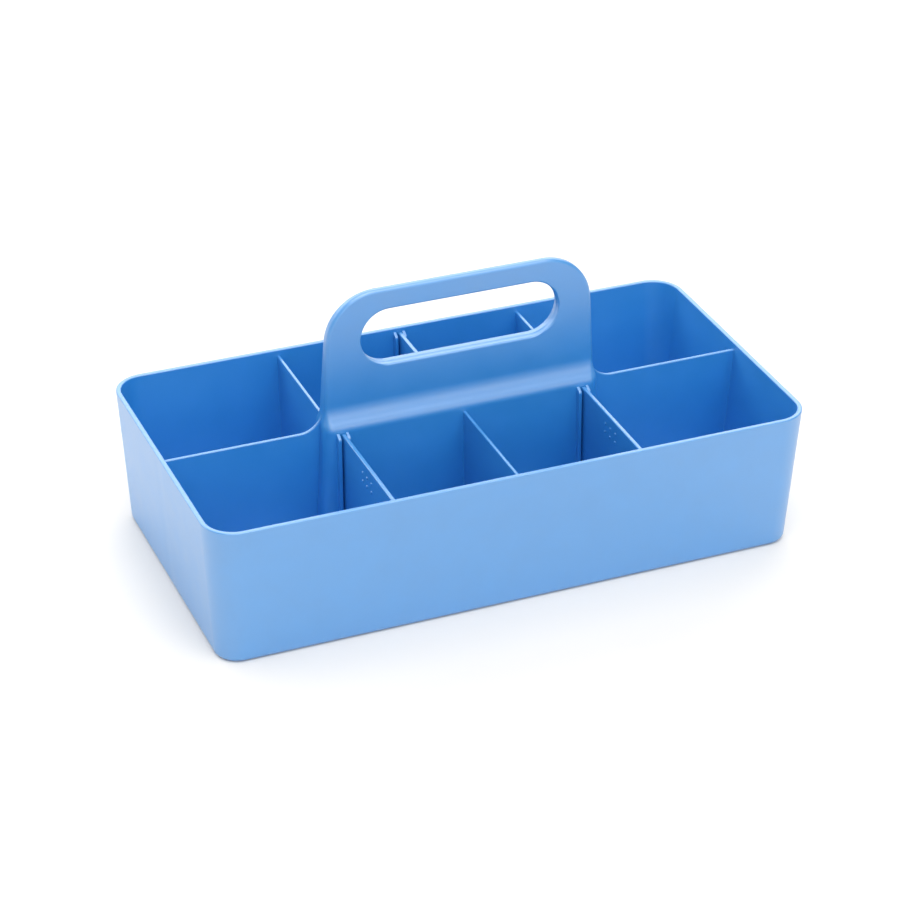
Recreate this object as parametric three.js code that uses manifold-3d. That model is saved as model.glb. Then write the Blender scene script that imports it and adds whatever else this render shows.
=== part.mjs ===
// Cleaning caddy: a one-piece moulded tub with a centre handle, and three lift-out dividers.
// Units are millimetres. The origin is the middle of the underside, +X runs along the length, +Y to the rear
// and +Z up.
import * as THREE from 'three';
import { mergeVertices } from 'three/addons/utils/BufferGeometryUtils.js';
import Module from 'manifold-3d';

// ---- Tub ----
const LENGTH = 400;
const WIDTH = 208.6;
const RIM_HEIGHT = 95.7;
const DRAFT = 6; // how far each wall leans in from the rim to the underside
const WALL = 3.2;
const RIM_ROUND = WALL / 2; // the rim's top is rounded over the wall's whole thickness
const FLOOR = 3.2;
const RIM_CORNER = 21; // plan radius of the corners at the rim
const BASE_CORNER = 15;
const BOTTOM_EDGE = 3.6; // radius between walls and underside
const FOOT_BAND = 12; // width of the flat ring that the tub stands on
const FOOT_RECESS = 1;
const RECESS_CORNER = 6;

// ---- Fixed partitions and dividers ----
const PARTITION_TOP = 91.5;
const PARTITION_THICKNESS = 2.2;
const REAR_DIVIDER_X = 85;
const SWEEP_RADIUS = 15; // the partition's rim sweeps up to the handle's edge on this radius
const SWEEP_EDGE = 92.2; // where the sweep meets the handle

// ---- Handle: a hollow base, a flared shoulder and a plate ----
const BASE_HALF_LENGTH = 94; // at the top of the base
const BASE_HALF_WIDTH = 11.6;
const BASE_END_RADIUS = 10;
const BASE_DRAFT_LENGTH = 0.045; // slope of the base's ends
const BASE_DRAFT_WIDTH = 0.035; // slope of the base's sides
const BASE_TOP = 92.3; // where the shoulder starts to turn inwards
const SHOULDER_TURN = 9.8; // radius of the shoulder's rounded lower part
const SHOULDER_TOP = 110.2;
const PLATE_HALF_LENGTH = 92; // at the top of the shoulder
const PLATE_HALF_THICKNESS = 5.15;
const PLATE_DRAFT_LENGTH = 0.057;
const PLATE_DRAFT_WIDTH = 0.0288;
const PLATE_EDGE_ROUND = 1.6;
const PLATE_CORNER = 33;
const HANDLE_TOP = 183.6;
const SLOT_CENTRE_X = 48;
const SLOT_CENTRE_Z = 150.8;
const SLOT_RADIUS = 19;
const HOLLOW_SKIN = 2.6; // wall thickness around the core that is open underneath
const HOLLOW_TOP = 121;

// ---- Lift-out dividers and their guide ribs ----
const LOOSE_TOP = 92.8;
const LOOSE_THICKNESS = 2.7;
const LOOSE_FRONT_X = 82.3;
const FLOOR_CLEARANCE = 0.35;
const END_CLEARANCE = 0.4;
const CHANNEL_GAP = [1.5, 0.3]; // clearance on a divider's -X and +X faces
const RIB_THICKNESS = 1.7;
const RIB_REACH = 4.2;
const RIB_TOP = 93;
const RIB_TOP_DROP = 2.1; // the rib tops slope down away from their wall
const DOT_RADIUS = 1;
const DOT_HEIGHT = 0.6;
const DOT_PITCH = { along: 7.4, down: 6 };
const DOT_TOP_ROW = 7.5; // below the divider's top edge

const CORNER_STEPS = 6;

// ---------------------------------------------------------------------------
// Solids: three.js geometry in, manifold-3d only to join and cut
// ---------------------------------------------------------------------------
const wasm = await Module();
wasm.setup();

function solidOf(geometry, position = [0, 0, 0]) {
  const bare = geometry.clone();
  bare.deleteAttribute('normal');
  bare.deleteAttribute('uv');
  bare.translate(...position);
  const merged = mergeVertices(bare, 1e-4);
  const vertProperties = new Float32Array(merged.attributes.position.array);
  const triVerts = new Uint32Array(merged.index.array);
  return new wasm.Manifold(new wasm.Mesh({ numProp: 3, vertProperties, triVerts }));
}

function geometryOf(solid) {
  const mesh = solid.getMesh();
  const geometry = new THREE.BufferGeometry();
  geometry.setAttribute('position', new THREE.BufferAttribute(mesh.vertProperties, 3));
  geometry.setIndex(new THREE.BufferAttribute(mesh.triVerts, 1));
  geometry.computeVertexNormals();
  return geometry;
}

function box(lowest, highest) {
  const size = highest.map((value, axis) => value - lowest[axis]);
  const middle = highest.map((value, axis) => (value + lowest[axis]) / 2);
  return solidOf(new THREE.BoxGeometry(...size), middle);
}

// A plan outline with rounded corners, anticlockwise from the +X side.
function roundedOutline({ halfX, halfY, corner }) {
  const radius = Math.min(corner, halfX, halfY);
  const points = [];
  const corners = [[1, 1], [-1, 1], [-1, -1], [1, -1]];
  corners.forEach(([signX, signY], quarter) => {
    for (let step = 0; step <= CORNER_STEPS; step += 1) {
      const angle = (quarter + step / CORNER_STEPS) * (Math.PI / 2);
      const x = signX * (halfX - radius) + radius * Math.cos(angle);
      const y = signY * (halfY - radius) + radius * Math.sin(angle);
      points.push([x, y]);
    }
  });
  return points;
}

// A closed solid through rounded outlines stacked in z, from the lowest section to the highest.
function loft(sections) {
  const rings = sections.map((section) => roundedOutline(section).map(([x, y]) => [x, y, section.z]));
  const count = rings[0].length;
  const last = rings.length - 1;
  const positions = rings.flat(2);
  positions.push(0, 0, sections[0].z, 0, 0, sections[last].z);
  const bottomCentre = count * rings.length;
  const index = [];
  for (let point = 0; point < count; point += 1) {
    const next = (point + 1) % count;
    for (let ring = 0; ring < last; ring += 1) {
      const low = ring * count;
      const high = low + count;
      index.push(low + point, low + next, high + next, low + point, high + next, high + point);
    }
    index.push(bottomCentre, next, point);
    index.push(bottomCentre + 1, last * count + point, last * count + next);
  }
  const geometry = new THREE.BufferGeometry();
  geometry.setAttribute('position', new THREE.Float32BufferAttribute(positions, 3));
  geometry.setIndex(index);
  return solidOf(geometry);
}

// A shape drawn in the front view (x, z) and pulled along Y.
function frontView(shape, fromY, toY) {
  const settings = { depth: toY - fromY, bevelEnabled: false, curveSegments: 2 * CORNER_STEPS };
  const geometry = new THREE.ExtrudeGeometry(shape, settings);
  geometry.rotateX(Math.PI / 2);
  return solidOf(geometry, [0, toY, 0]);
}

// Points drawn in the side view (y, z) and pulled along X. ExtrudeGeometry turns them anticlockwise.
function sideView(points, fromX, toX) {
  const shape = new THREE.Shape(points.map(([y, z]) => new THREE.Vector2(y, z)));
  const geometry = new THREE.ExtrudeGeometry(shape, { depth: toX - fromX, bevelEnabled: false });
  geometry.rotateX(Math.PI / 2);
  geometry.rotateZ(Math.PI / 2);
  return solidOf(geometry, [fromX, 0, 0]);
}

// ---------------------------------------------------------------------------
// The surfaces that the pieces share
// ---------------------------------------------------------------------------
// How far down the draft a height is: 0 where the rim's rounding starts and 1 at the underside.
const draftPart = (z) => 1 - Math.min(z / (RIM_HEIGHT - RIM_ROUND), 1);

// The tub's outside, moved inwards by an amount, at a height.
function tubSection(z, inset = 0) {
  const lean = DRAFT * draftPart(z);
  const corner = RIM_CORNER - (RIM_CORNER - BASE_CORNER) * draftPart(z);
  return { z, halfX: LENGTH / 2 - lean - inset, halfY: WIDTH / 2 - lean - inset, corner: corner - inset };
}

const innerWallY = (z) => tubSection(z, WALL).halfY;

// The handle's base below its shoulder.
function baseSection(z) {
  const drop = BASE_TOP - z;
  return {
    z,
    halfX: BASE_HALF_LENGTH + BASE_DRAFT_LENGTH * drop,
    halfY: BASE_HALF_WIDTH + BASE_DRAFT_WIDTH * drop,
    corner: BASE_END_RADIUS + BASE_DRAFT_WIDTH * drop,
  };
}

function plateSection(z) {
  const rise = z - SHOULDER_TOP;
  return {
    z,
    halfX: PLATE_HALF_LENGTH - PLATE_DRAFT_LENGTH * rise,
    halfY: PLATE_HALF_THICKNESS - PLATE_DRAFT_WIDTH * rise,
    corner: PLATE_EDGE_ROUND,
  };
}

// The shoulder turns in from the base on a round and runs out upright on the plate in a hollow. The two arcs
// meet at the shoulder's steepest point.
const shoulderDepth = BASE_HALF_WIDTH - PLATE_HALF_THICKNESS;
const shoulderHeight = SHOULDER_TOP - BASE_TOP;
const shoulderSlope = 2 * Math.atan(shoulderDepth / shoulderHeight);
const flareRadius = shoulderHeight / Math.sin(shoulderSlope) - SHOULDER_TURN;

// A section of the shoulder: part is 1 on the base and 0 on the plate.
function shoulderSection(z, halfY) {
  const part = (halfY - PLATE_HALF_THICKNESS) / shoulderDepth;
  return {
    z,
    halfX: PLATE_HALF_LENGTH + (BASE_HALF_LENGTH - PLATE_HALF_LENGTH) * part,
    halfY,
    corner: PLATE_EDGE_ROUND + (BASE_END_RADIUS - PLATE_EDGE_ROUND) * part,
  };
}

// A point on the rounded lower arc, from 0 on the base to 1 at the steepest point.
function turnSection(along) {
  const angle = shoulderSlope * along;
  const z = BASE_TOP + SHOULDER_TURN * Math.sin(angle);
  return shoulderSection(z, BASE_HALF_WIDTH - SHOULDER_TURN * (1 - Math.cos(angle)));
}

// A point on the hollow upper arc, from 0 at the steepest point to 1 on the plate.
function flareSection(along) {
  const angle = shoulderSlope * (1 - along);
  const z = SHOULDER_TOP - flareRadius * Math.sin(angle);
  return shoulderSection(z, PLATE_HALF_THICKNESS + flareRadius * (1 - Math.cos(angle)));
}

// ---------------------------------------------------------------------------
// Tub
// ---------------------------------------------------------------------------
function makeShell() {
  const quarter = [0, 0.3, 0.6, 1].map((part) => part * (Math.PI / 2));
  const edgeSection = (angle, fromZ, inset) => {
    const z = fromZ + BOTTOM_EDGE * (1 - Math.cos(angle));
    return tubSection(z, inset + BOTTOM_EDGE * (1 - Math.sin(angle)));
  };
  const rimSteps = [0, 0.5, 0.85, 0.98].map((part) => ({
    z: RIM_HEIGHT - RIM_ROUND + RIM_ROUND * (part === 0.98 ? 1 : part),
    round: RIM_ROUND * (1 - Math.sqrt(1 - part * part)),
  }));
  const outer = loft([
    ...quarter.map((angle) => edgeSection(angle, 0, 0)),
    ...rimSteps.map(({ z, round }) => tubSection(z, round)),
  ]);
  const innerRim = rimSteps.map(({ z, round }) => tubSection(z, WALL - round));
  const inside = loft([
    ...quarter.map((angle) => edgeSection(angle, FLOOR, WALL)),
    ...innerRim,
    { ...innerRim[innerRim.length - 1], z: RIM_HEIGHT + 1 },
  ]);
  const recessPlan = { ...tubSection(0, BOTTOM_EDGE + FOOT_BAND), corner: RECESS_CORNER };
  const recess = loft([{ ...recessPlan, z: -1 }, { ...recessPlan, z: FOOT_RECESS }]);
  return outer.subtract(inside).subtract(recess);
}

// The lengthwise partitions, whose rims sweep up to the handle's edges.
function partitions() {
  const half = PARTITION_THICKNESS / 2;
  const wall = box([-LENGTH / 2, -half, FLOOR / 2], [LENGTH / 2, half, PARTITION_TOP]);
  const sweep = new THREE.Shape();
  const centreX = SWEEP_EDGE + SWEEP_RADIUS;
  const centreZ = PARTITION_TOP + SWEEP_RADIUS;
  sweep.moveTo(0, PARTITION_TOP - 1);
  sweep.lineTo(centreX, PARTITION_TOP - 1);
  sweep.absarc(centreX, centreZ, SWEEP_RADIUS, -Math.PI / 2, -Math.PI, true);
  sweep.lineTo(0, centreZ);
  const right = frontView(sweep, -half, half);
  return wall.add(right).add(right.mirror([1, 0, 0]));
}

// A fixed divider across one row: side is -1 for the front row and +1 for the rear row.
function fixedDivider(x, side) {
  const half = PARTITION_THICKNESS / 2;
  const ends = [0, (side * WIDTH) / 2].sort((a, b) => a - b);
  return box([x - half, ends[0], FLOOR / 2], [x + half, ends[1], PARTITION_TOP]);
}

// Two guide ribs that hold one end of a lift-out divider. The profile is a list of (y, z) points.
function ribPair(dividerX, profile) {
  const left = dividerX - LOOSE_THICKNESS / 2 - CHANNEL_GAP[0];
  const right = dividerX + LOOSE_THICKNESS / 2 + CHANNEL_GAP[1];
  const one = sideView(profile, left - RIB_THICKNESS, left);
  return one.add(sideView(profile, right, right + RIB_THICKNESS));
}

// A rib's profile on a wall whose face is at face(z). Out is the direction from the wall to the rib's edge.
function ribProfile(face, out) {
  const foot = FLOOR / 2;
  const root = 1; // how far the rib is let into its wall
  const tipTop = RIB_TOP - RIB_TOP_DROP;
  return [
    [face(foot) - out * root, foot],
    [face(foot) + out * RIB_REACH, foot],
    [face(tipTop) + out * RIB_REACH, tipTop],
    [face(RIB_TOP) - out * root, RIB_TOP],
  ];
}

// Both rib pairs of a lift-out divider: on the outer wall and on the handle's base.
function guideRibs(x, side) {
  const onWall = ribProfile((z) => side * innerWallY(z), -side);
  const onBase = ribProfile((z) => side * baseSection(z).halfY, side);
  return ribPair(x, onWall).add(ribPair(x, onBase));
}

// ---------------------------------------------------------------------------
// Handle
// ---------------------------------------------------------------------------
function handleBody() {
  const turn = [0, 0.33, 0.67].map(turnSection);
  const flare = [0, 0.2, 0.4, 0.6, 0.8, 1].map(flareSection);
  return loft([baseSection(FLOOR / 2), ...turn, ...flare, plateSection(HANDLE_TOP)]);
}

// The handle's front view: straight to the shoulder, then the plate with its two round top corners.
function handleOutline() {
  const outline = new THREE.Shape();
  const centreZ = HANDLE_TOP - PLATE_CORNER;
  const centreX = plateSection(centreZ).halfX - PLATE_CORNER + 0.1; // the arc leaves the edge cleanly
  const wide = BASE_HALF_LENGTH + PLATE_CORNER;
  outline.moveTo(-wide, 0);
  outline.lineTo(wide, 0);
  outline.lineTo(wide, centreZ - PLATE_CORNER);
  outline.absarc(centreX, centreZ, PLATE_CORNER, 0, Math.PI / 2, false);
  outline.absarc(-centreX, centreZ, PLATE_CORNER, Math.PI / 2, Math.PI, false);
  outline.lineTo(-wide, centreZ - PLATE_CORNER);
  return outline;
}

function slotOutline() {
  const outline = new THREE.Shape();
  outline.absarc(SLOT_CENTRE_X, SLOT_CENTRE_Z, SLOT_RADIUS, -Math.PI / 2, Math.PI / 2, false);
  outline.absarc(-SLOT_CENTRE_X, SLOT_CENTRE_Z, SLOT_RADIUS, Math.PI / 2, 1.5 * Math.PI, false);
  return outline;
}

// The hollow core inside the base, open through the underside of the tub.
function handleHollow() {
  const shrink = (section) => ({
    ...section,
    halfX: section.halfX - HOLLOW_SKIN,
    halfY: section.halfY - HOLLOW_SKIN,
    corner: Math.max(section.corner - HOLLOW_SKIN, 0.8),
  });
  return loft([
    shrink(baseSection(-1)),
    shrink(baseSection(BASE_TOP - SHOULDER_TURN / 2)),
    shrink(flareSection(0)),
    shrink(flareSection(0.5)),
    shrink(flareSection(1)),
    shrink(plateSection(HOLLOW_TOP)),
  ]);
}

function makeTubWithHandle() {
  let inner = partitions().add(fixedDivider(0, -1));
  inner = inner.add(fixedDivider(-REAR_DIVIDER_X, 1)).add(fixedDivider(REAR_DIVIDER_X, 1));
  inner = inner.add(guideRibs(-LOOSE_FRONT_X, -1)).add(guideRibs(LOOSE_FRONT_X, -1)).add(guideRibs(0, 1));
  const depth = WIDTH / 2;
  const plate = handleBody().intersect(frontView(handleOutline(), -depth, depth));
  const handle = plate.subtract(frontView(slotOutline(), -depth, depth));
  const envelope = loft([tubSection(FLOOR / 2, WALL / 2), tubSection(HANDLE_TOP, WALL / 2)]);
  return makeShell().add(inner.add(handle).intersect(envelope)).subtract(handleHollow());
}

// ---------------------------------------------------------------------------
// Lift-out dividers
// ---------------------------------------------------------------------------
// A panel that narrows downwards, because the tub's wall and the handle's base both lean in towards its foot.
function makeDivider(x, side) {
  const inner = (z) => side * (baseSection(z).halfY + END_CLEARANCE);
  const outer = (z) => side * (innerWallY(z) - END_CLEARANCE);
  const toe = FLOOR + FLOOR_CLEARANCE;
  const foot = toe + BOTTOM_EDGE;
  const profile = [
    [inner(toe), toe],
    [outer(foot) - side * BOTTOM_EDGE, toe],
    [outer(foot), foot],
    [outer(LOOSE_TOP), LOOSE_TOP],
    [inner(LOOSE_TOP), LOOSE_TOP],
  ];
  let divider = sideView(profile, x - LOOSE_THICKNESS / 2, x + LOOSE_THICKNESS / 2);
  const middleY = (inner(LOOSE_TOP) + outer(LOOSE_TOP)) / 2;
  for (const column of [-1, 0, 1]) {
    for (const row of [0, 1]) {
      const y = middleY + column * DOT_PITCH.along;
      const z = LOOSE_TOP - DOT_TOP_ROW - row * DOT_PITCH.down;
      divider = divider.add(gripDots(x, y, z));
    }
  }
  return divider;
}

// A raised dot on each face of a divider, made as one pin through it with domed ends.
function gripDots(x, y, z) {
  const half = LOOSE_THICKNESS / 2;
  const dome = [[0, half + DOT_HEIGHT], [0.6 * DOT_RADIUS, half + 0.8 * DOT_HEIGHT], [DOT_RADIUS, half]];
  const lower = dome.map(([radius, along]) => new THREE.Vector2(radius, -along));
  const upper = dome.map(([radius, along]) => new THREE.Vector2(radius, along)).reverse();
  const geometry = new THREE.LatheGeometry([...lower, ...upper], 8);
  geometry.rotateZ(-Math.PI / 2);
  return solidOf(geometry, [x, y, z]);
}

// ---------------------------------------------------------------------------
// Assembly
// ---------------------------------------------------------------------------
const bluePlastic = new THREE.MeshStandardMaterial({ color: 0x3f80d2, roughness: 0.42, metalness: 0 });
const caddy = new THREE.Group();

function addPiece(name, solid) {
  const mesh = new THREE.Mesh(geometryOf(solid), bluePlastic.clone());
  mesh.name = name;
  caddy.add(mesh);
}

addPiece('tub_with_handle', makeTubWithHandle());
addPiece('divider_front_left', makeDivider(-LOOSE_FRONT_X, -1));
addPiece('divider_front_right', makeDivider(LOOSE_FRONT_X, -1));
addPiece('divider_rear_center', makeDivider(0, 1));

export default caddy;
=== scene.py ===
# Cleaning caddy in satin blue plastic: a one-piece tub with a handle, and three lift-out dividers.
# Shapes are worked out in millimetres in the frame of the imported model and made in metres.
import math

import bmesh
import bpy
from mathutils import Matrix, Vector
from mathutils.geometry import delaunay_2d_cdt


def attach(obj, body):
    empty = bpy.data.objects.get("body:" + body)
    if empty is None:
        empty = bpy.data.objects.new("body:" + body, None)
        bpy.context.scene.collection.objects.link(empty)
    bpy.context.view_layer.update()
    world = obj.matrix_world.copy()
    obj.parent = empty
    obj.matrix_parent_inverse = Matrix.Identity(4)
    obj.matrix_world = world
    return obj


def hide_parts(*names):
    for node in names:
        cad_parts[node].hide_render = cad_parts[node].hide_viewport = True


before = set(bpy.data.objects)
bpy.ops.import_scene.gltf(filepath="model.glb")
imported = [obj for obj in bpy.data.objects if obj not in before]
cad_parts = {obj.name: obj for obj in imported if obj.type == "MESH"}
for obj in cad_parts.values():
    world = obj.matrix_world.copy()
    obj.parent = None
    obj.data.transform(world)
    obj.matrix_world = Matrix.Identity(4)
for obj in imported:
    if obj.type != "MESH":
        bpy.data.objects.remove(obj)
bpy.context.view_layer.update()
MM = 0.001

# ---- Tub ----
LENGTH, WIDTH, RIM_HEIGHT = 400.0, 208.6, 95.7
DRAFT = 6.0  # how far the walls lean in from the rim to the underside
WALL, FLOOR = 3.2, 3.2
DRAFT_TOP = RIM_HEIGHT - WALL / 2  # the walls stand upright above this height
RIM_EDGE = 0.8  # the rim is flat on top between two small rounds
RIM_CORNER, BASE_CORNER = 21.0, 15.0
BOTTOM_EDGE = 3.6
FOOT_BAND, FOOT_RECESS, RECESS_CORNER = 12.0, 1.0, 6.0
FOOT_ROUND = FOOT_RECESS / 2  # the step from the foot ring to the recess is two quarter rounds

# ---- Fixed partitions ----
PARTITION_TOP, PARTITION_THICKNESS = 91.5, 2.2
PARTITION_ROUND = 0.9
PARTITION_FOOT = FLOOR - 1.0  # under the floor's surface
END_IN_WALL = 0.8  # a partition ends inside a wall, this far short of the wall's middle
DIVIDER_ROOT_Y = 9.5  # the cross dividers start inside the handle's base
REAR_DIVIDER_X = 85.0
SWEEP_RADIUS, SWEEP_EDGE = 15.0, 92.2
SWEEP_END_IN, SWEEP_END_UP = 1.5, 8.0  # the sweep's last point, hidden in the handle's edge
COVE, RIB_COVE, BASE_COVE = 0.6, 0.5, 1.6  # radii in the inside corners
COVE_TOP = PARTITION_TOP - 0.3
FLOOR_COVE_END = 1.0  # a cove on the floor runs this far into the handle's base, and ends this far off a wall
COVE_OVERLAP = 0.02  # how deep a cove's edges lie under the faces that it joins
COVE_TIP = 0.02  # the share of its radius that is left where a cove runs out

# ---- Handle ----
BASE_HALF_LENGTH, BASE_HALF_WIDTH, BASE_END_RADIUS = 94.0, 11.6, 6.5
BASE_DRAFT_LENGTH, BASE_DRAFT_WIDTH = 0.045, 0.035
BASE_TOP, SHOULDER_TOP, SHOULDER_TURN = 92.3, 110.2, 9.8
TURN_SUPPORT = 8.0  # a row this far under the turn keeps its shading off the base
PLATE_HALF_LENGTH, PLATE_HALF_THICKNESS = 92.0, 5.15
PLATE_DRAFT_LENGTH, PLATE_DRAFT_WIDTH = 0.057, 0.0288
PLATE_ROUND = 2.4
PLATE_CORNER, HANDLE_TOP = 33.0, 183.6
SLOT_CENTRE_X, SLOT_CENTRE_Z, SLOT_RADIUS, SLOT_ROUND = 48.0, 150.8, 19.0, 1.2
# (depth, height) across the bead where the mould's halves meet
PARTING_BEAD = ((-1.0, 0.0), (-0.7, 0.3), (0.7, 0.3), (1.0, 0.0))
HOLLOW_SKIN, HOLLOW_TOP = 2.6, 121.0
HOLLOW_CEILING_ROUND, HOLLOW_MOUTH_ROUND = 0.7, 0.9
HOLLOW_CEILING_CORNER, HOLLOW_LEAST_CORNER = 1.0, 0.8

# ---- Lift-out dividers and their guide ribs ----
LOOSE_TOP, LOOSE_THICKNESS, LOOSE_FRONT_X = 92.8, 2.7, 82.3
LOOSE_FOOT, LOOSE_ROUND = FLOOR + 0.35, 0.75
END_CLEARANCE = 0.4
CHANNEL_GAP = (1.1, 0.3)  # clearance on a divider's -X and +X faces
RIB_THICKNESS, RIB_REACH, RIB_TOP, RIB_TOP_DROP = 2.1, 4.2, 93.0, 2.1
RIB_TIP_ROUND, RIB_ROUND = 2.0, 0.4
RIB_FOOT, RIB_ROOT, RIB_BACK = FLOOR - 1.2, -0.8, -1.5  # under the floor and inside the wall
DOT_PITCH_ALONG, DOT_PITCH_DOWN, DOT_TOP_ROW = 7.4, 6.0, 7.5
DOT_SIDES = 18
DOT_PROFILE = (  # (radius, height) from the face up to the crown
    (1.3, -0.05), (1.12, 0.02), (0.98, 0.14), (0.84, 0.34), (0.62, 0.5), (0.34, 0.58), (0.12, 0.6),
)

# Steps round one corner of a ring, and round the plate's edges, which meet the shoulder's corners.
CORNER_STEPS = 14

# The shoulder turns in from the base on a round and runs out upright on the plate in a hollow.
SHOULDER_DEPTH = BASE_HALF_WIDTH - PLATE_HALF_THICKNESS
SHOULDER_SLOPE = 2 * math.atan(SHOULDER_DEPTH / (SHOULDER_TOP - BASE_TOP))
FLARE_RADIUS = (SHOULDER_TOP - BASE_TOP) / math.sin(SHOULDER_SLOPE) - SHOULDER_TURN


# ---------------------------------------------------------------------------
# Meshes in millimetres: patches of points and faces, gathered and then made into one object
# ---------------------------------------------------------------------------
class Surface:
    def __init__(self):
        self.points = []
        self.faces = []

    def ring(self, points):
        first = len(self.points)
        self.points.extend(tuple(p) for p in points)
        return list(range(first, len(self.points)))

    def strip(self, low, high, closed=True):
        """Quads between two rows of equal length."""
        count = len(low)
        for i in range(count if closed else count - 1):
            j = (i + 1) % count
            self.faces.append((low[i], low[j], high[j], high[i]))

    def skin(self, rows, closed=True):
        """Quads through a list of rows of points. Returns the rows as vertex numbers."""
        made = [self.ring(row) for row in rows]
        for low, high in zip(made, made[1:]):
            self.strip(low, high, closed)
        return made

    def add_bmesh(self, bm):
        first = len(self.points)
        bm.verts.index_update()
        self.points.extend(tuple(v.co) for v in bm.verts)
        self.faces.extend(tuple(first + v.index for v in f.verts) for f in bm.faces)
        bm.free()

    def build(self, name, body, node, material):
        mesh = bpy.data.meshes.new(name)
        mesh.from_pydata([[c * MM for c in p] for p in self.points], [], self.faces)
        mesh.validate()
        bm = bmesh.new()
        bm.from_mesh(mesh)
        bmesh.ops.remove_doubles(bm, verts=bm.verts, dist=0.001 * MM)
        bm.to_mesh(mesh)
        bm.free()
        mesh.shade_smooth()
        obj = bpy.data.objects.new(name, mesh)
        bpy.context.scene.collection.objects.link(obj)
        obj.data.materials.append(material)
        even = obj.modifiers.new("even_shading", "WEIGHTED_NORMAL")
        even.mode = "FACE_AREA"
        even.weight = 100
        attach(obj, body)
        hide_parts(node)
        return obj


def rounded_rectangle(z, half_x, half_y, corner):
    """A plan outline with rounded corners, anticlockwise from the +X side."""
    radius = min(corner, half_x, half_y)
    points = []
    for quarter, (sx, sy) in enumerate([(1, 1), (-1, 1), (-1, -1), (1, -1)]):
        for step in range(CORNER_STEPS + 1):
            angle = (quarter + step / CORNER_STEPS) * math.pi / 2
            x = sx * (half_x - radius) + radius * math.cos(angle)
            y = sy * (half_y - radius) + radius * math.sin(angle)
            points.append((x, y, z))
    return points


def arc(count, start=0.0, end=90.0):
    """(sine, cosine) pairs along an arc given in degrees."""
    angles = [math.radians(start + (end - start) * i / count) for i in range(count + 1)]
    return [(math.sin(a), math.cos(a)) for a in angles]


# ---------------------------------------------------------------------------
# Shared surfaces
# ---------------------------------------------------------------------------
def draft_part(z):
    """How far down the draft a height is: 0 under the rim and 1 at the underside."""
    return 1 - min(z / DRAFT_TOP, 1)


def tub_ring(z, inset=0.0):
    lean = DRAFT * draft_part(z)
    corner = RIM_CORNER - (RIM_CORNER - BASE_CORNER) * draft_part(z)
    half_x, half_y = LENGTH / 2 - lean - inset, WIDTH / 2 - lean - inset
    return rounded_rectangle(z, half_x, half_y, corner - inset)


def inner_wall_x(z):
    return LENGTH / 2 - DRAFT * draft_part(z) - WALL


def inner_wall_y(z):
    return WIDTH / 2 - DRAFT * draft_part(z) - WALL


def base_half_width(z):
    return BASE_HALF_WIDTH + BASE_DRAFT_WIDTH * (BASE_TOP - z)


def base_half_length(z):
    return BASE_HALF_LENGTH + BASE_DRAFT_LENGTH * (BASE_TOP - z)


def base_ring(z, grow=0.0):
    corner = BASE_END_RADIUS + BASE_DRAFT_WIDTH * (BASE_TOP - z) + grow
    return rounded_rectangle(z, base_half_length(z) + grow, base_half_width(z) + grow, corner)


def plate_half_thickness(z):
    return PLATE_HALF_THICKNESS - PLATE_DRAFT_WIDTH * (z - SHOULDER_TOP)


def plate_half_length(z):
    return PLATE_HALF_LENGTH - PLATE_DRAFT_LENGTH * (z - SHOULDER_TOP)


def shoulder_ring(z, half_y, shrink=0.0):
    """A ring of the shoulder. It turns from the base's round ends to the plate's edges as it narrows."""
    part = (half_y - PLATE_HALF_THICKNESS) / SHOULDER_DEPTH
    half_x = PLATE_HALF_LENGTH + (BASE_HALF_LENGTH - PLATE_HALF_LENGTH) * part
    corner = PLATE_ROUND + (BASE_END_RADIUS - PLATE_ROUND) * part
    corner = max(corner - shrink, HOLLOW_LEAST_CORNER)
    return rounded_rectangle(z, half_x - shrink, half_y - shrink, corner)


def turn_ring(along, shrink=0.0):
    """On the rounded lower arc, from 0 on the base to 1 at the steepest point."""
    angle = SHOULDER_SLOPE * along
    z = BASE_TOP + SHOULDER_TURN * math.sin(angle)
    return shoulder_ring(z, BASE_HALF_WIDTH - SHOULDER_TURN * (1 - math.cos(angle)), shrink)


def flare_ring(along, shrink=0.0):
    """On the hollow upper arc, from 0 at the steepest point to 1 on the plate."""
    angle = SHOULDER_SLOPE * (1 - along)
    z = SHOULDER_TOP - FLARE_RADIUS * math.sin(angle)
    return shoulder_ring(z, PLATE_HALF_THICKNESS + FLARE_RADIUS * (1 - math.cos(angle)), shrink)


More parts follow.
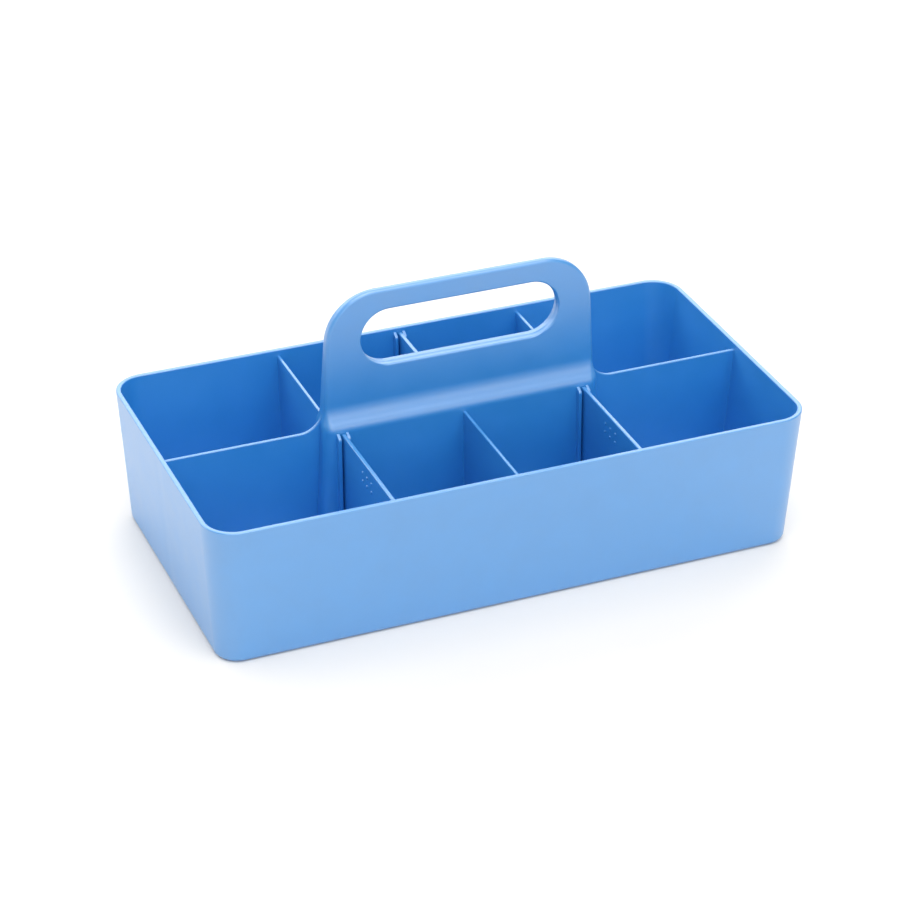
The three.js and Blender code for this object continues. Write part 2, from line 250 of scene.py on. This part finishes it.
# ---------------------------------------------------------------------------
# Tub with handle
# ---------------------------------------------------------------------------
def skin_rings():
    """One continuous skin: from the ceiling of the hollow handle base, out over the underside, up the
    outside and over the rim, down the inside, across the floor and up the handle's base to its plate."""
    rows = []
    # The hollow core, from its ceiling down.
    top_y = plate_half_thickness(HOLLOW_TOP) - HOLLOW_SKIN
    top_x = plate_half_length(HOLLOW_TOP) - HOLLOW_SKIN
    for s, c in arc(3):
        z = HOLLOW_TOP - HOLLOW_CEILING_ROUND * (1 - c)
        inset = HOLLOW_CEILING_ROUND * (1 - s)
        rows.append(rounded_rectangle(z, top_x - inset, top_y - inset, HOLLOW_CEILING_CORNER))
    rows.extend(flare_ring(1 - i / 6, HOLLOW_SKIN) for i in range(7))
    rows.append(base_ring(BASE_TOP - SHOULDER_TURN / 2, -HOLLOW_SKIN))
    rows.append(base_ring(FOOT_RECESS + HOLLOW_MOUTH_ROUND, -HOLLOW_SKIN))
    for s, c in arc(4)[1:]:
        z = FOOT_RECESS + HOLLOW_MOUTH_ROUND * (1 - s)
        rows.append(base_ring(z, -HOLLOW_SKIN + HOLLOW_MOUTH_ROUND * (1 - c)))
    # The underside: the recess, its step and the foot ring.
    recess = BOTTOM_EDGE + FOOT_BAND

    def foot_ring(z, grow):
        half_x, half_y = LENGTH / 2 - DRAFT - recess + grow, WIDTH / 2 - DRAFT - recess + grow
        return rounded_rectangle(z, half_x, half_y, RECESS_CORNER + grow)

    rows.append(foot_ring(FOOT_RECESS, -2 * FOOT_ROUND))
    for s, c in arc(4)[1:]:
        rows.append(foot_ring(FOOT_RECESS - FOOT_ROUND * (1 - c), FOOT_ROUND * (s - 2)))
    for s, c in arc(4)[1:]:
        rows.append(foot_ring(FOOT_ROUND * c, -FOOT_ROUND * c))
    # The bottom edge, the outside and the rim.
    for s, c in arc(8):
        rows.append(tub_ring(BOTTOM_EDGE * (1 - c), BOTTOM_EDGE * (1 - s)))
    for s, c in arc(6):
        rows.append(tub_ring(RIM_HEIGHT - RIM_EDGE * (1 - s), RIM_EDGE * (1 - c)))
    for s, c in reversed(arc(6)):
        rows.append(tub_ring(RIM_HEIGHT - RIM_EDGE * (1 - s), WALL - RIM_EDGE * (1 - c)))
    # The inside and the floor.
    for s, c in reversed(arc(8)):
        rows.append(tub_ring(FLOOR + BOTTOM_EDGE * (1 - c), WALL + BOTTOM_EDGE * (1 - s)))
    for s, c in arc(5):
        rows.append(base_ring(FLOOR + BASE_COVE * (1 - c), BASE_COVE * (1 - s)))
    # The handle's base, the shoulder's turn and the flare up to the plate.
    rows.append(base_ring(BASE_TOP - TURN_SUPPORT))
    rows.extend(turn_ring(i / 8) for i in range(8))
    rows.extend(flare_ring(i / 12) for i in range(13))
    return rows


def plate_chain():
    """The handle's outline in the front view, right foot to left: (x, z, normal x, normal z)."""
    centre_z = HANDLE_TOP - PLATE_CORNER
    centre_x = plate_half_length(centre_z) - PLATE_CORNER
    right = []
    for i in range(6):
        z = SHOULDER_TOP + (centre_z - SHOULDER_TOP) * i / 6
        right.append((plate_half_length(z), z, 1.0, 0.0))
    for s, c in arc(24):
        right.append((centre_x + PLATE_CORNER * c, centre_z + PLATE_CORNER * s, c, s))
    left = [(-x, z, -nx, nz) for x, z, nx, nz in reversed(right)]
    return right + left


def slot_chain():
    """The grip slot's outline, anticlockwise, with normals that point into the slot."""
    chain = []
    for side, start in ((1, -90), (-1, 90)):
        for s, c in arc(28, start, start + 180):
            x, z = side * SLOT_CENTRE_X + SLOT_RADIUS * c, SLOT_CENTRE_Z + SLOT_RADIUS * s
            chain.append((x, z, -c, -s))
    return chain


def across_profile(radius, steps):
    """Steps across the plate's edge from the front face to the rear: (side, depth from that face, inset)."""
    front = [(-1, radius * (1 - c), radius * (1 - s)) for s, c in arc(steps)]
    return front + [(1, back, inset) for _, back, inset in reversed(front)]


def across_row(chain, inset, depth_at):
    """A row along an outline of the plate, drawn in by inset. depth_at gives its depth at a height."""
    return [(x - nx * inset, depth_at(z), z - nz * inset) for x, z, nx, nz in chain]


def edge_rows(chain, profile):
    """The rows of a rounded edge that runs across the plate's thickness."""
    return [
        across_row(chain, inset, lambda z: side * (plate_half_thickness(z) - back))
        for side, back, inset in profile
    ]


def add_plate(surface):
    """The handle above its shoulder: the outer edge, the grip slot's edge and the two flat faces."""
    outer_rows = edge_rows(plate_chain(), across_profile(PLATE_ROUND, CORNER_STEPS))
    surface.skin(outer_rows[::-1], closed=False)

    slot = slot_chain()
    profile = across_profile(SLOT_ROUND, 6)
    middle = len(profile) // 2
    slot_rows = edge_rows(slot, profile[:middle])
    slot_rows += [across_row(slot, -proud, lambda z: depth) for depth, proud in PARTING_BEAD]
    slot_rows += edge_rows(slot, profile[middle:])
    surface.skin(slot_rows)

    # The two flat faces between the outline and the slot.
    for rim, hole, front in ((outer_rows[0], slot_rows[0], True), (outer_rows[-1], slot_rows[-1], False)):
        solid = rim + hole
        flat = [Vector((p[0], p[2])) for p in solid]
        edges = [(i, (i + 1) % len(rim)) for i in range(len(rim))]
        edges += [(len(rim) + i, len(rim) + (i + 1) % len(hole)) for i in range(len(hole))]
        verts, _, faces, origins, _, _ = delaunay_2d_cdt(flat, edges, [], 1, 1e-5)
        numbers = surface.ring([solid[found[0]] for found in origins])
        for face in faces:
            centre = sum((verts[v] for v in face), Vector((0, 0))) / len(face)
            nearest = max(-SLOT_CENTRE_X, min(SLOT_CENTRE_X, centre.x))
            if math.hypot(centre.x - nearest, centre.y - SLOT_CENTRE_Z) < SLOT_RADIUS:
                continue
            a, b, c = (verts[v] for v in face[:3])
            anticlockwise = (b - a).cross(c - a) > 0
            order = face if anticlockwise == front else face[::-1]
            surface.faces.append(tuple(numbers[v] for v in order))


def add_panel(surface, chain, half, to_point, foot, radius=PARTITION_ROUND, foot_shift=()):
    """A thin wall from foot to a rounded free edge that follows chain: (along, height, and its normal).
    to_point turns (along, across, height) into a place. foot_shift moves the foot of its first or last
    points, for a wall that leans."""
    rows = []
    shift = dict(foot_shift)
    steps = arc(5)
    for side, order in ((-1, steps), (1, steps[::-1])):
        for s, c in order:
            inset, across = radius * (1 - s), side * (half - radius * (1 - c))
            rows.append([to_point(a - na * inset, across, z - nz * inset) for a, z, na, nz in chain])
    along = [a - na * radius + shift.get(i, 0) for i, (a, z, na, nz) in enumerate(chain)]
    near_foot = [to_point(a, -half, foot) for a in along]
    far_foot = [to_point(a, half, foot) for a in along]
    surface.skin([near_foot] + rows + [far_foot], closed=False)


def add_cove(surface, start, end, first, second, radius=COVE, taper_end=True):
    """A hollow fillet along the inside corner from start to end, between faces with these normals. It
    shrinks to nothing at its end unless taper_end is False."""
    start, end, first, second = (Vector(v) for v in (start, end, first, second))
    first.normalize()
    second.normalize()
    along = end - start
    stations = [(0.0, 1.0)]  # (share of the length, share of the radius)
    if taper_end:
        run_out = radius * 1.5
        for t in (0, 0.4, 0.7, 0.9, 1):
            stations.append((1 - run_out * (1 - t) / along.length, math.sqrt(1 - t * t) + COVE_TIP))
    else:
        stations.append((1.0, 1.0))
    rows = []
    for part, scale in stations:
        r = radius * scale
        centre = start + along * part + (first + second) * (r - COVE_OVERLAP)
        rows.append([centre - r * (c * first + s * second) for s, c in arc(6)])
    made = [surface.ring(row) for row in rows]
    facing = (rows[0][1] - rows[0][0]).cross(rows[1][0] - rows[0][0])
    flip = facing.dot(first + second) < 0
    for low, high in zip(made, made[1:]):
        for i in range(len(low) - 1):
            quad = (low[i], low[i + 1], high[i + 1], high[i])
            surface.faces.append(quad[::-1] if flip else quad)


def rib_chain():
    """A guide rib's free edge, from its foot up the tip and over its sloping top: (z, reach, normal)."""
    slope = math.atan2(RIB_REACH, RIB_TOP_DROP)
    centre_z = RIB_TOP - RIB_TOP_DROP - RIB_TIP_ROUND * math.tan(slope / 2)
    centre_reach = RIB_REACH - RIB_TIP_ROUND
    chain = [(RIB_FOOT, RIB_REACH, 0.0, 1.0)]
    for s, c in arc(8, 0, math.degrees(slope)):
        chain.append((centre_z + RIB_TIP_ROUND * s, centre_reach + RIB_TIP_ROUND * c, s, c))
    root_z = RIB_TOP - RIB_ROOT * RIB_TOP_DROP / RIB_REACH
    chain.append((root_z, RIB_ROOT, math.sin(slope), math.cos(slope)))
    return chain


def add_ribs(surface, divider_x, face, out):
    """The two guide ribs at one end of a lift-out divider, on a surface at y = face(z), towards out."""
    left = divider_x - LOOSE_THICKNESS / 2 - CHANNEL_GAP[0] - RIB_THICKNESS
    right = divider_x + LOOSE_THICKNESS / 2 + CHANNEL_GAP[1]
    half = RIB_THICKNESS / 2
    for x in (left, right):
        def to_point(z, across, reach):
            return (x + half - out * across, face(z) + out * reach, z)
        add_panel(surface, rib_chain(), half, to_point, RIB_BACK, RIB_ROUND)
    # Fillets on the outer sides only: the channel between the ribs is too narrow for them.
    for x, side in ((left, -1), (right + RIB_THICKNESS, 1)):
        low, high = (x, face(FLOOR), FLOOR), (x, face(RIB_TOP), RIB_TOP)
        add_cove(surface, low, high, (side, 0, 0), (0, out, 0), RIB_COVE)


def add_wall_coves(surface, x, half, face, out):
    """The fillets up both sides of a cross divider where it meets a surface at y = face(z)."""
    lean = (face(COVE_TOP) - face(FLOOR)) / (COVE_TOP - FLOOR)
    for side in (-1, 1):
        start = (x + side * half, face(FLOOR), FLOOR)
        end = (x + side * half, face(COVE_TOP), COVE_TOP)
        add_cove(surface, start, end, (side, 0, 0), (0, out, -out * lean))


def in_x(along, across, z):
    return along, across, z


def in_y(x):
    return lambda along, across, z: (x - across, along, z)


def make_tub(material):
    surface = Surface()
    rows = surface.skin(skin_rings())
    surface.faces.append(tuple(rows[0]))
    add_plate(surface)
    half = PARTITION_THICKNESS / 2
    to_wall = WALL / 2 + END_IN_WALL

    # Lengthwise partitions: along the row, then up the sweep into the handle's edge.
    centre_x, centre_z = SWEEP_EDGE + SWEEP_RADIUS, PARTITION_TOP + SWEEP_RADIUS
    sweep = [(centre_x - SWEEP_RADIUS * s, centre_z - SWEEP_RADIUS * c, s, c) for s, c in arc(16)]
    right = [(LENGTH / 2 - to_wall, PARTITION_TOP, 0.0, 1.0)] + sweep
    right += [(SWEEP_EDGE - SWEEP_END_IN, centre_z + SWEEP_END_UP, 1.0, 0.0)]
    left = [(-a, z, -na, nz) for a, z, na, nz in reversed(right)]
    add_panel(surface, right, half, in_x, PARTITION_FOOT, foot_shift={0: -DRAFT})
    add_panel(surface, left, half, in_x, PARTITION_FOOT, foot_shift={len(left) - 1: DRAFT})
    lean = (inner_wall_x(PARTITION_TOP) - inner_wall_x(FLOOR)) / (PARTITION_TOP - FLOOR)
    for side in (-1, 1):
        for across in (-1, 1):
            # Up the end wall, then along the floor.
            low = (side * inner_wall_x(FLOOR), across * half, FLOOR)
            high = (side * inner_wall_x(PARTITION_TOP), across * half, COVE_TOP)
            add_cove(surface, low, high, (0, across, 0), (-side, 0, lean))
            start = (side * (inner_wall_x(FLOOR) - FLOOR_COVE_END), across * half, FLOOR)
            end = (side * (base_half_length(FLOOR) - FLOOR_COVE_END), across * half, FLOOR)
            add_cove(surface, start, end, (0, across, 0), (0, 0, 1), taper_end=False)

    # Fixed cross dividers.
    for x, side in ((0.0, -1), (-REAR_DIVIDER_X, 1), (REAR_DIVIDER_X, 1)):
        ends = sorted((side * DIVIDER_ROOT_Y, side * (WIDTH / 2 - to_wall)), reverse=True)
        chain = [(end, PARTITION_TOP, 0.0, 1.0) for end in ends]
        wall_end = 0 if side > 0 else 1
        add_panel(surface, chain, half, in_y(x), PARTITION_FOOT, foot_shift={wall_end: -side * DRAFT})
        add_wall_coves(surface, x, half, lambda z: side * inner_wall_y(z), -side)
        add_wall_coves(surface, x, half, lambda z: side * base_half_width(z), side)
        for across in (-1, 1):
            start = (x + across * half, side * (base_half_width(FLOOR) - FLOOR_COVE_END), FLOOR)
            end = (x + across * half, side * (inner_wall_y(FLOOR) - FLOOR_COVE_END), FLOOR)
            add_cove(surface, start, end, (across, 0, 0), (0, 0, 1), taper_end=False)

    # Guide ribs.
    for x, side in ((-LOOSE_FRONT_X, -1), (LOOSE_FRONT_X, -1), (0.0, 1)):
        add_ribs(surface, x, lambda z: side * inner_wall_y(z), -side)
        add_ribs(surface, x, lambda z: side * base_half_width(z), side)
    return surface.build("caddy_body", "tub", "tub_with_handle", material)


# ---------------------------------------------------------------------------
# Lift-out dividers
# ---------------------------------------------------------------------------
def add_dot(surface, x, y, z, side):
    """A raised grip dot on a divider's face, blended into it."""
    turn = [2 * math.pi * i / DOT_SIDES * side for i in range(DOT_SIDES)]
    rows = []
    for radius, height in DOT_PROFILE:
        rows.append([(x + side * height, y + radius * math.cos(t), z + radius * math.sin(t)) for t in turn])
    made = surface.skin(rows)
    surface.faces.append(tuple(made[-1]))


def make_divider(name, body, node, x, side, material):
    """A lift-out divider at x, in the row at the front (side -1) or the rear (side 1)."""
    surface = Surface()
    half = LOOSE_THICKNESS / 2

    def inner(z):
        return side * (base_half_width(z) + END_CLEARANCE)

    def outer(z):
        return side * (inner_wall_y(z) - END_CLEARANCE)

    heel = LOOSE_FOOT + BOTTOM_EDGE
    outline = [
        (inner(LOOSE_FOOT), LOOSE_FOOT),
        (outer(heel) - side * BOTTOM_EDGE, LOOSE_FOOT),
        (outer(heel), heel),
        (outer(LOOSE_TOP), LOOSE_TOP),
        (inner(LOOSE_TOP), LOOSE_TOP),
    ]
    bm = bmesh.new()
    near = [bm.verts.new((x - half, y, z)) for y, z in outline]
    far = [bm.verts.new((x + half, y, z)) for y, z in outline]
    bm.faces.new(near)
    bm.faces.new(far[::-1])
    for i in range(len(outline)):
        j = (i + 1) % len(outline)
        bm.faces.new((near[i], near[j], far[j], far[i]))
    bmesh.ops.recalc_face_normals(bm, faces=bm.faces)
    bmesh.ops.bevel(
        bm, geom=bm.edges, offset=LOOSE_ROUND, segments=4, profile=0.5, affect="EDGES", clamp_overlap=True,
    )
    surface.add_bmesh(bm)
    middle_y = (inner(LOOSE_TOP) + outer(LOOSE_TOP)) / 2
    for column in (-1, 0, 1):
        for row in (0, 1):
            y = middle_y + column * DOT_PITCH_ALONG
            z = LOOSE_TOP - DOT_TOP_ROW - row * DOT_PITCH_DOWN
            for face_side in (-1, 1):
                add_dot(surface, x + face_side * half, y, z, face_side)
    return surface.build(name, body, node, material)


# ---------------------------------------------------------------------------
# Materials. Lengths in the shaders are in metres.
# ---------------------------------------------------------------------------
SINK_GROOVE, SINK_SWELL = 0.009, 0.03  # half widths of the groove and of the swell beside it
SINK_FROM_X, SINK_FULL_X = 0.1915, 0.1925  # the mark shows only on the end walls
SWELL_HEIGHT = 0.6  # as a share of the groove's depth
PLASTIC_DARK, PLASTIC_LIGHT = (0.012, 0.261, 0.670), (0.015, 0.279, 0.712)
DIVIDER_TONE = 0.97
ROUGHNESS = (0.33, 0.41)
WAVE_DEPTH, SINK_DEPTH, GRAIN_DEPTH = 0.0012, 0.00016, 0.00006
SCUFF_COLOUR, SCUFF_STRENGTH, SCUFF_ROUGHNESS = (0.16, 0.33, 0.66, 1), 0.45, 0.2
SCUFF_FULL_Z, SCUFF_END_Z = 0.0002, 0.0012
FLOOR_TONE = (0.89, 0.91)
FLOOR_GREEN, FLOOR_BLUE = 0.965, 0.915  # a warm white that balances the blue light off the plastic


class Nodes:
    """Short forms for building a node material."""

    def __init__(self, name):
        self.material = bpy.data.materials.new(name)
        self.material.use_nodes = True
        self.tree = self.material.node_tree
        self.shader = self.tree.nodes["Principled BSDF"]

    def add(self, kind, inputs=None, **settings):
        node = self.tree.nodes.new(kind)
        for key, value in settings.items():
            setattr(node, key, value)
        self.connect(node, inputs or {})
        return node

    def connect(self, node, inputs):
        """Links the sockets among inputs and sets the plain values."""
        for key, value in inputs.items():
            if isinstance(value, bpy.types.NodeSocket):
                self.tree.links.new(value, node.inputs[key])
            else:
                node.inputs[key].default_value = value

    def noise(self, where, scale, detail=3.0, rough=0.5):
        inputs = {"Vector": where, "Scale": scale, "Detail": detail, "Roughness": rough}
        return self.add("ShaderNodeTexNoise", inputs).outputs["Fac"]

    def ranged(self, value, low, high, to_low, to_high, smooth=False):
        inputs = {"Value": value, "From Min": low, "From Max": high, "To Min": to_low, "To Max": to_high}
        kind = "SMOOTHSTEP" if smooth else "LINEAR"
        return self.add("ShaderNodeMapRange", inputs, interpolation_type=kind).outputs["Result"]

    def maths(self, operation, a, b=0.0):
        return self.add("ShaderNodeMath", {0: a, 1: b}, operation=operation).outputs[0]

    def bump(self, height, strength, distance, **below):
        inputs = {"Height": height, "Strength": strength, "Distance": distance, **below}
        return self.add("ShaderNodeBump", inputs).outputs["Normal"]


def sink_mark(n, place):
    """The shallow groove down an end wall where the plastic shrank behind the lengthwise partition."""
    split = n.add("ShaderNodeSeparateXYZ", {"Vector": place})
    across = n.maths("ABSOLUTE", split.outputs["Y"])
    groove = n.ranged(across, 0.0, SINK_GROOVE, 1.0, 0.0, smooth=True)
    swell = n.ranged(across, SINK_GROOVE, SINK_SWELL, 1.0, 0.0, smooth=True)
    on_end_wall = n.ranged(n.maths("ABSOLUTE", split.outputs["X"]), SINK_FROM_X, SINK_FULL_X, 0.0, 1.0)
    height = n.maths("SUBTRACT", n.maths("MULTIPLY", swell, SWELL_HEIGHT), groove)
    return n.maths("MULTIPLY", height, on_end_wall)


def blue_plastic(name, tone=1.0):
    """Satin polypropylene: fine grain, slow waviness, faint clouding, and scuffs where it stands."""
    n = Nodes(name)
    place = n.add("ShaderNodeTexCoord").outputs["Object"]
    slow = n.noise(place, 9.0, 2.0)
    cloud = n.noise(place, 42.0, 4.0, 0.6)
    grain = n.noise(place, 1500.0, 2.0, 0.6)
    colour = n.add("ShaderNodeValToRGB", {"Fac": cloud})
    stops = colour.color_ramp.elements
    for stop, position, blue in zip(stops, (0.3, 0.7), (PLASTIC_DARK, PLASTIC_LIGHT)):
        stop.position = position
        stop.color = (*(part * tone for part in blue), 1)
    # Scuffs on the ring that the tub stands on.
    height = n.add("ShaderNodeSeparateXYZ", {"Vector": place}).outputs["Z"]
    low_down = n.ranged(height, SCUFF_FULL_Z, SCUFF_END_Z, 1.0, 0.0, smooth=True)
    scratch_place = n.add("ShaderNodeMapping", {"Vector": place, "Scale": (90.0, 900.0, 90.0)})
    scratches = n.noise(scratch_place.outputs["Vector"], 1.0, 5.0, 0.7)
    scuffed = n.maths("MULTIPLY", n.ranged(scratches, 0.52, 0.66, 0.0, 1.0, smooth=True), low_down)
    paler = n.maths("MULTIPLY", scuffed, SCUFF_STRENGTH)
    colours = {"Factor": paler, 6: colour.outputs["Color"], 7: SCUFF_COLOUR}
    mixed = n.add("ShaderNodeMix", colours, data_type="RGBA")
    # Gloss.
    gloss = n.ranged(cloud, 0.3, 0.7, *ROUGHNESS)
    gloss = n.maths("ADD", gloss, n.maths("MULTIPLY", scuffed, SCUFF_ROUGHNESS))
    # Relief: the mould's waviness, the sink marks and the fine grain.
    wavy = n.bump(slow, 0.35, WAVE_DEPTH)
    sunk = n.bump(sink_mark(n, place), 1.0, SINK_DEPTH, Normal=wavy)
    fine = n.bump(grain, 0.12, GRAIN_DEPTH, Normal=sunk)
    n.connect(n.shader, {
        "Base Color": mixed.outputs[2],
        "Roughness": gloss,
        "IOR": 1.75,
        "Specular IOR Level": 1.0,
        "Coat Weight": 1.0,
        "Coat Roughness": 0.5,
        "Coat IOR": 1.5,
        "Normal": fine,
    })
    return n.material


def floor_material():
    n = Nodes("white_floor")
    place = n.add("ShaderNodeTexCoord").outputs["Object"]
    tone = n.ranged(n.noise(place, 3.0), 0.3, 0.7, *FLOOR_TONE)
    green, blue = n.maths("MULTIPLY", tone, FLOOR_GREEN), n.maths("MULTIPLY", tone, FLOOR_BLUE)
    colour = n.add("ShaderNodeCombineColor", {"Red": tone, "Green": green, "Blue": blue})
    n.connect(n.shader, {
        "Base Color": colour.outputs["Color"],
        "Roughness": 0.9,
        "Specular IOR Level": 0.1,
    })
    return n.material


# ---------------------------------------------------------------------------
# Floor, light and camera. Lengths are in metres and angles in degrees.
# ---------------------------------------------------------------------------
FLOOR_REACH = 30.0
FLOOR_DROP = 0.00005  # just under the object, so that no two faces share a plane
SOFTBOXES = (  # name, azimuth, elevation, distance, size, radiance
    ("front_softbox", 0, 22, 3.0, (3.6, 1.0), 1.64),
    ("back_softbox", 160, 34, 3.0, (4.4, 1.8), 2.3),
    ("back_left_softbox", -130, 30, 3.0, (3.0, 1.4), 2.0),
    ("top_softbox", 0, 85, 2.0, (2.0, 2.0), 1.4),
)
OVERHEAD_STRENGTH, OVERHEAD_SPREAD, OVERHEAD_DIRECTION = 1.34, 55, (0.0, 0.5, -1.0)
# The world's strength, by how steeply a direction points up: 0 at the horizon and 1 overhead.
WORLD_FADE = {"From Min": 0.1, "From Max": 0.3, "To Min": 0.4, "To Max": 0.3}

# Solved from the corners of the tub's rim and base in the photograph.
CAMERA_AZIMUTH, CAMERA_ELEVATION, CAMERA_ROLL = -22.9239, 30.5809, 0.6410
CAMERA_PLACE = (-0.631291, -1.497163, 1.009411)
CAMERA_LENS, CAMERA_SENSOR = 114.618, 36.0  # millimetres


def direction(azimuth, elevation):
    """From the object outwards: azimuth 0 is the front, -Y, and it grows towards +X."""
    a, e = math.radians(azimuth), math.radians(elevation)
    return Vector((math.sin(a) * math.cos(e), -math.cos(a) * math.cos(e), math.sin(e)))


def make_floor():
    mesh = bpy.data.meshes.new("studio_floor")
    corners = [(x * FLOOR_REACH, y * FLOOR_REACH, 0) for x, y in ((-1, -1), (1, -1), (1, 1), (-1, 1))]
    mesh.from_pydata(corners, [], [(0, 1, 2, 3)])
    floor = bpy.data.objects.new("studio_floor", mesh)
    floor.location.z = -FLOOR_DROP
    floor.data.materials.append(floor_material())
    bpy.context.scene.collection.objects.link(floor)


def softbox(name, azimuth, elevation, distance, size, radiance):
    """A large soft panel that faces the object, placed by its direction from the object."""
    light = bpy.data.lights.new(name, "AREA")
    light.shape = "RECTANGLE"
    light.size, light.size_y = size
    light.energy = radiance * math.pi * size[0] * size[1]
    lamp = bpy.data.objects.new(name, light)
    out = direction(azimuth, elevation)
    lamp.location = out * distance
    lamp.rotation_mode = "QUATERNION"
    lamp.rotation_quaternion = (-out).to_track_quat("-Z", "Y")
    lamp.visible_camera = False
    bpy.context.scene.collection.objects.link(lamp)


def make_light():
    for settings in SOFTBOXES:
        softbox(*settings)
    sun = bpy.data.lights.new("overhead_light", "SUN")
    sun.energy = OVERHEAD_STRENGTH
    sun.angle = math.radians(OVERHEAD_SPREAD)
    lamp = bpy.data.objects.new("overhead_light", sun)
    lamp.rotation_mode = "QUATERNION"
    lamp.rotation_quaternion = Vector(OVERHEAD_DIRECTION).to_track_quat("-Z", "Y")
    bpy.context.scene.collection.objects.link(lamp)


def make_world():
    """A white studio, dimmer overhead than at the horizon."""
    world = bpy.data.worlds.new("studio")
    world.use_nodes = True
    tree = world.node_tree
    split = tree.nodes.new("ShaderNodeSeparateXYZ")
    fade = tree.nodes.new("ShaderNodeMapRange")
    fade.interpolation_type = "SMOOTHSTEP"
    for key, value in WORLD_FADE.items():
        fade.inputs[key].default_value = value
    background = tree.nodes["Background"]
    background.inputs["Color"].default_value = (1, 1, 1, 1)
    tree.links.new(tree.nodes.new("ShaderNodeTexCoord").outputs["Generated"], split.inputs["Vector"])
    tree.links.new(split.outputs["Z"], fade.inputs["Value"])
    tree.links.new(fade.outputs["Result"], background.inputs["Strength"])
    bpy.context.scene.world = world


def make_camera():
    azimuth, roll = math.radians(CAMERA_AZIMUTH), math.radians(CAMERA_ROLL)
    back = direction(CAMERA_AZIMUTH, CAMERA_ELEVATION)
    level = Vector((math.cos(azimuth), math.sin(azimuth), 0))
    right = level * math.cos(roll) + back.cross(level) * math.sin(roll)
    up = back.cross(right)
    camera = bpy.data.objects.new("camera", bpy.data.cameras.new("camera"))
    axes = Matrix((right, up, back)).transposed().to_4x4()
    camera.matrix_world = Matrix.Translation(CAMERA_PLACE) @ axes
    camera.data.sensor_width = CAMERA_SENSOR
    camera.data.lens = CAMERA_LENS
    camera.data.clip_start, camera.data.clip_end = 0.05, 100.0
    bpy.context.scene.collection.objects.link(camera)
    bpy.context.scene.camera = camera


make_camera()
make_floor()
make_light()
make_world()
make_tub(blue_plastic("tub_blue"))
divider_blue = blue_plastic("divider_blue", DIVIDER_TONE)
for place, x, side in (
    ("front_left", -LOOSE_FRONT_X, -1),
    ("front_right", LOOSE_FRONT_X, -1),
    ("rear_center", 0.0, 1),
):
    make_divider(f"lift_divider_{place}", place, f"divider_{place}", x, side, divider_blue)

bpy.context.scene.view_settings.view_transform = "Standard"
bpy.context.scene.view_settings.look = "None"
